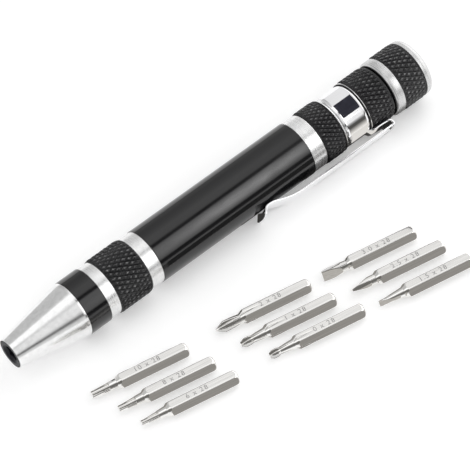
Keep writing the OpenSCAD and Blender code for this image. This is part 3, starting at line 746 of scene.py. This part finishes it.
# %% Turn the rear section
STORE_R, REAR_SPIGOT_R, SEAL_BED_R, AXLE_HOLE_R = 4.6, 6.25, 5.4, 2.05
CORE_R, RIM_R, GROOVE_R = 7.66, 7.9, 7.0      # under the knurls, beside them, in the groove
SPIGOT_FROM, SEAL_FROM, SEAL_TO, BEARING_FROM = 93.6, 96.25, 97.25, 118.0

rear_core = lathe("rear_core", [
    (SPIGOT_FROM, STORE_R), (SPIGOT_FROM, REAR_SPIGOT_R), (SEAL_FROM, REAR_SPIGOT_R),
    (SEAL_FROM, SEAL_BED_R), (SEAL_TO, SEAL_BED_R), (SEAL_TO, REAR_SPIGOT_R),
    (JOIN + 0.05, REAR_SPIGOT_R), (JOIN + 0.05, CORE_R), (REAR_FRONT_END - 0.25, CORE_R),
    (REAR_FRONT_END - 0.25, RIM_R), (REAR_FRONT_END, RIM_R), (REAR_FRONT_END, GROOVE_R),
    (REAR_BACK, GROOVE_R), (REAR_BACK, RIM_R), (REAR_BACK + 0.5, RIM_R),
    (REAR_BACK + 0.5, CORE_R), (REAR_END, CORE_R), (REAR_END, AXLE_HOLE_R),
    (BEARING_FROM, AXLE_HOLE_R), (BEARING_FROM, STORE_R)],
    "rear", GLOSS_BLACK, "rear_sleeve", 0.05)
neck = lathe("neck_chamfer", [
    (REAR_FRONT_END, 6.9), (REAR_FRONT_END, 7.95), (NECK, 7.55), (NECK, 7.03),
    (REAR_BACK, 7.03), (REAR_BACK, 7.74), (REAR_BACK + 0.44, 7.98), (REAR_BACK + 0.44, 6.9)],
    "rear", NOSE_ALUMINIUM, "rear_sleeve", 0.04)
print("rear section:", len(rear_core.data.polygons) + len(neck.data.polygons), "faces")

# %% [markdown]
# The swivel cap
#
# The cap turns freely under the palm while the fingers drive the barrel. A bare ring in
# front and a bare rounded end frame its knurled band. The face before the ring stays black,
# as its anodising isn't cut away there, and this black is also painted shade, which draws
# the dark line of the gap to the rear section.

# %% Turn the cap
CAP_R, CAP_CORE_R, CAP_LIP_R, END_BEND = 8.38, 8.05, 7.8, 1.5
AXLE_R, AXLE_END = 2.02, 132.8
ON_AXIS = 0.001      # a turned face's middle

# The lip's black face is painted shade for the dark line in the gap before the cap.
sleeve("cap_lip", CAP, CAP_LIP, CAP_LIP_R, CAP_BLACK, "cap", "swivel_cap", bore=AXLE_R,
       soften=0.05)
lathe("cap_ring", [(CAP_LIP, AXLE_R), (CAP_LIP, CAP_LIP_R), (CAP_RING, CAP_R),
                   (CAP_KNURL, CAP_R), (CAP_KNURL, AXLE_R)],
      "cap", SHADED_CAP_ALUMINIUM, "swivel_cap", 0.16)
lathe("cap_core", [(CAP_KNURL, AXLE_R), (CAP_KNURL, CAP_CORE_R), (CAP_END_RING, CAP_CORE_R),
                   (CAP_END_RING, ON_AXIS), (AXLE_END, ON_AXIS), (AXLE_END, AXLE_R)],
      "cap", CAP_BLACK, "swivel_cap", 0.02)
cap_end = lathe("cap_end", [(CAP_END_RING, ON_AXIS), (CAP_END_RING, CAP_R)] + arc_points(
    PEN_END - END_BEND, CAP_R - END_BEND, END_BEND, 90, 0, 8) + [(PEN_END, ON_AXIS)],
    "cap", SHADED_CAP_ALUMINIUM, "swivel_cap", 0.03)
print("cap end at", round(max(v.co.x for v in cap_end.data.vertices) * 1000, 2), "mm")

# %% [markdown]
# The pocket clip
#
# The clip is one strip of spring steel: it wraps the groove as a split collar, climbs out
# as a tab, folds back over itself and runs down the barrel to a dip and an upturned lip.
# A turtle that walks forward and turns gives its middle line, a slight arch gives it
# stiffness, and Solidify and Bevel give it its sheet's thickness and soft edges.

# %% Helper: walk the clip's middle line
CLIP_T, COLLAR_R, TAB_H = 0.55, 7.35, 8.44
CLIP_DROP = radians(27.563)


def walk(start, moves):
    """Stations of [x, height, heading in degrees], from moves of (length, turn, steps)."""
    stations = [start]
    x, height, heading = start
    for length, turned_by, steps in moves:
        for _ in range(steps):
            part, turn_part = length / steps, turned_by / steps
            half = radians(turn_part / 2)
            chord = part if turn_part == 0 else part * sin(abs(half)) / abs(half)
            toward = radians(heading) + half
            x, height = x + chord * cos(toward), height + chord * sin(toward)
            heading += turn_part
            stations.append((x, height, heading))
    return stations


def arc_of(radius, degrees, steps):
    """A bend as a move: its length along the sheet, its turn and its steps."""
    return (radius * radians(abs(degrees)), degrees, steps)


def on_clip_side(x, across, height):
    """From the clip seen upright to its place, turned round the pen."""
    c, s = cos(CLIP_DROP), sin(CLIP_DROP)
    return Vector(mm([x, -height * c - across * s, -height * s + across * c]))


print("clip lies", round(math.degrees(CLIP_DROP), 1), "degrees below the horizontal")

# %% Form the tab, the fold and the arm
def strip(name, stations, widths, arches, body, stands_for):
    """Sweeps an arched section along the stations."""
    cells, points = 12, []
    for (x, height, _), width, arch in zip(stations, widths, arches):
        for k in range(cells + 1):
            share = 2 * k / cells - 1
            points.append(on_clip_side(x, width / 2 * share, height - arch * share * share))
    return sheet(name, points, cells, body, stands_for)


def sheet(name, points, cells, body, stands_for, flip=False):
    """Joins rows of points with faces, and gives them thickness, soft edges and chrome."""
    row, faces = cells + 1, []
    for first in range(0, len(points) - row, row):
        for a in range(first, first + cells):
            ways = (a + row, a + row + 1, a + 1)
            faces.append((a, *(ways if flip else ways[::-1])))
    piece = plain_mesh(name, points, faces)
    thick = piece.modifiers.new("thickness", "SOLIDIFY")
    thick.thickness, thick.offset = mm(CLIP_T), 0
    soft = piece.modifiers.new("edges", "BEVEL")
    soft.width, soft.segments, soft.limit_method = mm(0.14), 3, "ANGLE"
    soft.angle_limit = radians(50)
    soft.harden_normals = True
    return fit(coat(freeze(piece), CHROME, 40), body, stands_for)


def rise_of(radius, degrees):
    """How far a bend from level climbs."""
    return radius * (1 - cos(radians(degrees)))


TAB_FROM = (115.95, COLLAR_R - 0.01, 0)
BEND_R, RISE, CREEP = 0.8, 46, 5.2            # the tab's bends and how steeply it climbs
ARM_H, FOLD_R, FOLD_STEPS = TAB_H + 2, 0.8, 20
TAB_W, ARM_W, TAB_ARCH, ARM_ARCH = 4.8, 8.4, 0.38, 0.5
WIDER_FROM = 9                                # the station where the tab starts to widen

root_climb = 2 * rise_of(BEND_R, RISE) - rise_of(BEND_R, CREEP)
climb = (TAB_H - TAB_FROM[1] - root_climb) / sin(radians(RISE))
tab_up = [arc_of(BEND_R, RISE, 6), (climb, 0, 2), arc_of(BEND_R, CREEP - RISE, 6)]
tab_x, tab_height, _ = walk(TAB_FROM, tab_up)[-1]
fold_rise = rise_of(FOLD_R, 180) - rise_of(FOLD_R, CREEP)
run = (ARM_H - tab_height - fold_rise) / sin(radians(CREEP))
print("run over the rear knurl:", round(run, 2), "mm, fold at", round(tab_x + run, 1))
tab = walk(TAB_FROM, tab_up + [(run, 0, 6), arc_of(FOLD_R, 180 - CREEP, FOLD_STEPS)])
fold_from = len(tab) - 1 - FOLD_STEPS
wider = [min(1, max(0, (i - WIDER_FROM) / (fold_from - WIDER_FROM))) for i in range(len(tab))]
tab_arches = [TAB_ARCH + (ARM_ARCH - TAB_ARCH) * share if i <= fold_from
              else ARM_ARCH * abs(1 - 2 * (i - fold_from) / FOLD_STEPS)
              for i, share in enumerate(wider)]
strip("clip_tab", tab, [TAB_W + (ARM_W - TAB_W) * share for share in wider], tab_arches,
      "clip", "clip_collar")

DIP_FROM, DIP, DIP_R, LIFT_R = 90.7, 20, 20, 9.2
LIP_R, LIP_TURN, LIP = 1.4, 50, 1.8
TOUCH_H = BARREL_R + 0.08 + CLIP_T / 2        # where the arm all but touches the barrel
fold_x = tab[-1][0]
slope = (ARM_H - TOUCH_H - rise_of(DIP_R + LIFT_R, DIP)) / sin(radians(DIP))
arm = walk((fold_x - 0.02, ARM_H, 180), [
    (fold_x - DIP_FROM, 0, 10), arc_of(DIP_R, DIP, 10), (slope, 0, 2), arc_of(LIFT_R, -DIP, 8),
    arc_of(LIP_R, -LIP_TURN, 10), (LIP, 0, 2)])
strip("clip_arm_sheet", arm, [ARM_W] * len(arm), [ARM_ARCH] * len(arm), "arm", "clip_arm")
lip_x = arm[-1][0]


def on_floor(x, y):
    return mm([x, y, FLOOR + 0.1])


# Painted reflections for the clip: dark cards in its fold and on the floor under the pen and clip
# stand in for the shade there, as painted shade that only the metal shows, and a bright card
# between the collar and the arm paints a highlight into the collar's lower flank.
glowing_card("fold_card", partial(on_clip_side, height=9.4), 121.0, 124.9, -3.6, 3.6, 0.02)
glowing_card("painted_shade_card", on_floor, lip_x + 1.8, lip_x - 4, -7, 1.5, 0.04)
glowing_card("painted_shade_card", on_floor, 124, 96, -8, 2, 0.06)
glowing_card("painted_shade_card", on_floor, 136, 124, -13, 2, 0.10)
glowing_card("arm_card", partial(on_clip_side, height=9.5), 112.0, 119.0, -2.4, 4.3, 0.80)
print("arm reaches x =", round(arm[-1][0], 1), "mm at height", round(arm[-1][1], 1))

# %% [markdown]
# The collar
#
# The collar is the part of the strip that grips the groove. It doesn't quite close: its two
# ends are drawn in and rounded, and leave a slit on the far side from the clip. The sheet
# is laid out as angle and place, and its edges follow a curve that narrows at the slit.

# %% Wrap the collar
def collar_sheet():
    front, back, slit = 109.45, 116.95, 1.2
    open_from, taper_from = math.degrees(math.asin(slit / 2 / COLLAR_R)), 66
    count, cells, points = 120, 8, []
    for i in range(count + 1):
        from_slit = open_from + (360 - 2 * open_from) * i / count
        near = min(from_slit, 360 - from_slit)
        share = max(0, 1 - (near - open_from) / (taper_from - open_from))
        pull = 1 - math.sqrt(max(0, 1 - share ** 2.2))
        low, high = front + 2.6 * pull, back - 1.1 * pull
        a = radians(from_slit - 180)
        for k in range(cells + 1):
            x = low + (high - low) * k / cells
            points.append(on_clip_side(x, COLLAR_R * sin(a), COLLAR_R * cos(a)))
    return sheet("clip_collar_sheet", points, cells, "clip", "clip_collar", flip=True)


collar_piece = collar_sheet()
print("collar:", len(collar_piece.data.polygons), "faces")

# %% [markdown]
# Bit steel
#
# The bits are hard steel with a satin nickel look. They are ground along their length, so
# the pattern follows the turned bits: the coordinates are first turned by the bits' angle
# and then stretched along it. A faint warm tone keeps them apart from the aluminium.

# %% Finish: bit steel and size marks
def bit_steel():
    material, tree, shader = finish_named("bit_steel", (0.86, 0.85, 0.83), 1, 0.1)
    grind = noise(tree, (120, 3200, 3200), detail=4.0, turn=-BITS_TURN)
    fill(tree, shader, Roughness=vary(tree, grind, 0.06, 0.13), Normal=bump(tree, grind, 0.04),
         Base_Color=shade(tree, vary(tree, grind, 0, 1), (0.80, 0.79, 0.77), (0.91, 0.90, 0.88)))
    return material


def etched_grey():
    material, tree, shader = finish_named("etched_grey", (0.16,) * 3, 0, 0.6)
    worn = vary(tree, noise(tree, scale=5200.0), 0, 1)
    fill(tree, shader, Base_Color=shade(tree, worn, (0.16,) * 3, (0.42, 0.41, 0.40)))
    return material


BIT_STEEL, ETCHED = bit_steel(), etched_grey()
print("made", BIT_STEEL.name, "and", ETCHED.name)

# %% [markdown]
# Ground and tumbled bits
#
# A bit is a hexagon bar that a lathe turns down at both ends. Then wheels cut its tip: six
# round flutes, four V grooves or two flat grinds. Each of these surfaces has a simple radius
# at each angle, and the metal that stays is inside all of them. Adding the radii as high
# inverse powers gives that smallest radius with softly rounded edges, as tumbling leaves.

# %% Helper: grind a bit
BIT_LEN, BIT_R, NECK_END, NECK_R = 28, 2.0, 8.4, 1.45
SHOULDER, SHOULDER_R, BAR_R = 1.32, 2.31, 2.52
TAIL, TAIL_R = 2.6, 1.2
FAR = 9.0            # a radius out of a surface's reach
SHARP = 34           # how tightly the edges are rounded


def smallest(radii):
    return sum(r ** -SHARP for r in radii) ** (-1 / SHARP)


def flat_at(distance, from_normal):
    """Radius of a plane at an angle from its normal."""
    lean = cos(from_normal)
    return distance / lean if lean * FAR > distance else FAR


def star_flutes(d, x, angle):
    across, centre_r, full_to = 0.17 * d, 0.53 * d, 0.55 * NECK_END
    if x > full_to:
        across = math.sqrt(max(0, across ** 2 - (x - full_to) ** 2))
    delta = (angle + pi / 6) % (pi / 3) - pi / 6
    inside = across ** 2 - (centre_r * sin(delta)) ** 2
    return centre_r * cos(delta) - math.sqrt(inside) if inside > 0 else FAR


def cross_flutes(d, x, angle):
    delta = abs((angle + pi / 4) % (pi / 2) - pi / 4)
    opening = cos(delta) - sin(delta)
    depth = 0.13 * d + x * math.tan(radians(9))
    return depth / opening if opening * FAR > depth else FAR


def flat_grinds(w, turn, x, angle):
    ground_to, tip_half = 0.62 * NECK_END, 0.08 * w + 0.06 * NECK_R
    if x > ground_to:
        return FAR
    share = x / ground_to
    thick = tip_half + (NECK_R - tip_half) * share
    wide = w / 2 + (max(w / 2, 0.96 * NECK_R) - w / 2) * share
    return smallest([flat_at(half, angle + radians(way - turn)) for half, way in (
        (thick, 0), (thick, 180), (wide, 90), (wide, -90))])


def turned_profile(tip):
    """Places and radii from the tip's face to the tail's, close together where they curve."""
    shoulder = [(NECK_END - SHOULDER, NECK_R), (NECK_END, SHOULDER_R), (NECK_END + 0.25, BAR_R)]
    tail = [(BIT_LEN - TAIL + TAIL * sin(a), TAIL_R + (BAR_R - TAIL_R) * cos(a))
            for a in (radians(7.5 * i) for i in range(13))]
    corners = tip + shoulder + tail
    stations = [corners[0]]
    for (x0, r0), (x1, r1) in zip(corners, corners[1:]):
        pieces = max(1, math.ceil((x1 - x0) / (0.12 if x1 <= NECK_END else 2.5)))
        stations += [(x0 + (x1 - x0) * i / pieces, r0 + (r1 - r0) * i / pieces)
                     for i in range(1, pieces + 1)]
    return stations


def laid(place, height, shift=0):
    """Moves what is made along X to a bit's place, above the floor and shifted along it."""
    centre = Vector(mm([*place, FLOOR + height])) + ALONG_BIT * mm(shift)
    return Matrix.Translation(centre) @ Matrix.Rotation(BITS_TURN, 4, "Z")


def ground_bit(node, tip, cut):
    stations = turned_profile(tip)
    points, faces = [], []
    for x, turned_r in stations:
        for k in range(ROUND):
            a = tau * k / ROUND
            flats = [flat_at(BIT_R, a - radians(60 * i)) for i in range(6)]
            r = smallest([turned_r, cut(x, a)] + flats)
            points.append(Vector((x - BIT_LEN / 2, -r * sin(a), r * cos(a))))
    for i in range(len(stations) - 1):
        for k in range(ROUND):
            n = (k + 1) % ROUND
            faces.append((i * ROUND + k, (i + 1) * ROUND + k, (i + 1) * ROUND + n, i * ROUND + n))
    for ring, x in ((0, 0), (len(stations) - 1, BIT_LEN)):
        centre = len(points)
        points.append(Vector((x - BIT_LEN / 2, 0, 0)))
        for k in range(ROUND):
            pair = (ring * ROUND + k, ring * ROUND + (k + 1) % ROUND)
            faces.append((centre, *(pair if ring == 0 else pair[::-1])))
    piece = plain_mesh(node + "_ground", [p * 0.001 for p in points], faces)
    piece.data.transform(laid(BIT_MARKS[node][0], BIT_R))
    return fit(coat(piece, BIT_STEEL, 24), node, node)


# %% Grind the nine bits
def star(d):
    return [(0, 0.44 * d), (0.06 * d, d / 2), (0.14 * NECK_END, d / 2)], partial(star_flutes, d)


def cross(d, point, neck):
    tip_len = (d - point) / 2 / math.tan(radians(27))
    full = tip_len + 0.5 * d
    return [(0, point / 2), (tip_len, d / 2), (full, d / 2),
            (full + 0.3 * d, d / 2 * neck)], partial(cross_flutes, d)


def flat(w, turn):
    return [(0, 0.6 * w), (0.2 * NECK_END, 0.6 * w)], partial(flat_grinds, w, turn)


TIPS = {
    "star_bit_large": star(2.3), "star_bit_medium": star(1.95), "star_bit_small": star(1.6),
    "cross_bit_large": cross(3.2, 0.70, 1), "cross_bit_medium": cross(2.6, 1.3, 0.86),
    "cross_bit_small": cross(2.5, 1.5, 0.8), "flat_bit_wide": flat(2.9, 60),
    "flat_bit_turned": flat(2.4, 128), "flat_bit_narrow": flat(1.4, 60),
}
ground = [ground_bit(node, *tip) for node, tip in TIPS.items()]
print("faces of each bit:", len(ground[0].data.polygons))

# %% [markdown]
# Size marks
#
# Real bits carry a tiny size mark on one flat. Here each has a plain size number and its
# length, as flat figures a hundredth of a millimetre proud, in a rubbed grey.

# %% Mark the bits
PROUD = 0.005        # half the figures' thickness


def size_mark(node, middle, size):
    figures = bpy.data.curves.new(node + "_mark", "FONT")
    figures.body = f"{size} x {BIT_LEN}"
    figures.size, figures.extrude = mm(2.0), mm(PROUD)
    figures.space_character, figures.resolution_u = 1.25, 3
    figures.align_x = figures.align_y = "CENTER"
    text = put_in_scene(node + "_mark", figures)
    mesh = evaluated(text)
    bpy.data.objects.remove(text)
    mesh.transform(laid(middle, 2 * BIT_R + PROUD, 2.2))
    mark = put_in_scene(node + "_mark", mesh)
    mark.data.materials.clear()
    mark.data.materials.append(ETCHED)
    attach(mark, node)


for node, (middle, size) in BIT_MARKS.items():
    size_mark(node, middle, size)
print("bits marked:", len(BIT_MARKS))

# %% [markdown]
# The parts that hide
#
# The socket insert, magnet, bit carrier, seal ring, washer, axle and its clip show only in
# the nose or when the tool is taken apart, yet each gets its own finish, so that the model
# holds up when someone opens it.

# %% Finish the inner parts
SPREAD = 0.15        # how far the tone goes down and up


def plain_finish(name, colour, metallic, roughness, grain, relief, gleam=0.5):
    """A finish whose tone and gloss change over a fine grain, with a little relief."""
    material, tree, shader = finish_named(name, colour, metallic, roughness)
    pattern = noise(tree, scale=grain, detail=4.0)
    dark = tuple(v * (1 - SPREAD) for v in colour)
    light = tuple(min(1, v * (1 + SPREAD)) for v in colour)
    fill(tree, shader, Specular_IOR_Level=gleam,
         Base_Color=shade(tree, vary(tree, pattern, 0, 1), dark, light),
         Roughness=vary(tree, pattern, roughness - 0.05, roughness + 0.08),
         Normal=bump(tree, pattern, relief, 0.02))
    return material


for node, *finish in (
        ("bit_socket", "blackened_steel", (0.010, 0.010, 0.014), 0, 0.38, 900.0, 0.1, 0.2),
        ("socket_magnet", "nickel_plate", (0.70, 0.68, 0.64), 1, 0.2, 700.0, 0.05),
        ("seal_ring", "seal_rubber", (0.02, 0.02, 0.02), 0, 0.55, 1500.0, 0.2),
        ("bit_carrier", "carrier_plastic", (0.045, 0.045, 0.05), 0, 0.45, 1200.0, 0.25),
        # The washer's near-black is painted shade: it stands in for the shadow in the gap before
        # the cap.
        ("thrust_washer", "washer_nylon", (0.02, 0.02, 0.02), 0, 0.45, 800.0, 0.1),
        ("cap_axle", "turned_steel", (0.62, 0.61, 0.59), 1, 0.25, 1600.0, 0.1),
        ("axle_clip", "oiled_spring_steel", (0.22, 0.22, 0.23), 1, 0.3, 900.0, 0.1)):
    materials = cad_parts[node].data.materials
    materials.clear()
    materials.append(plain_finish(*finish))
print("inner parts finished")
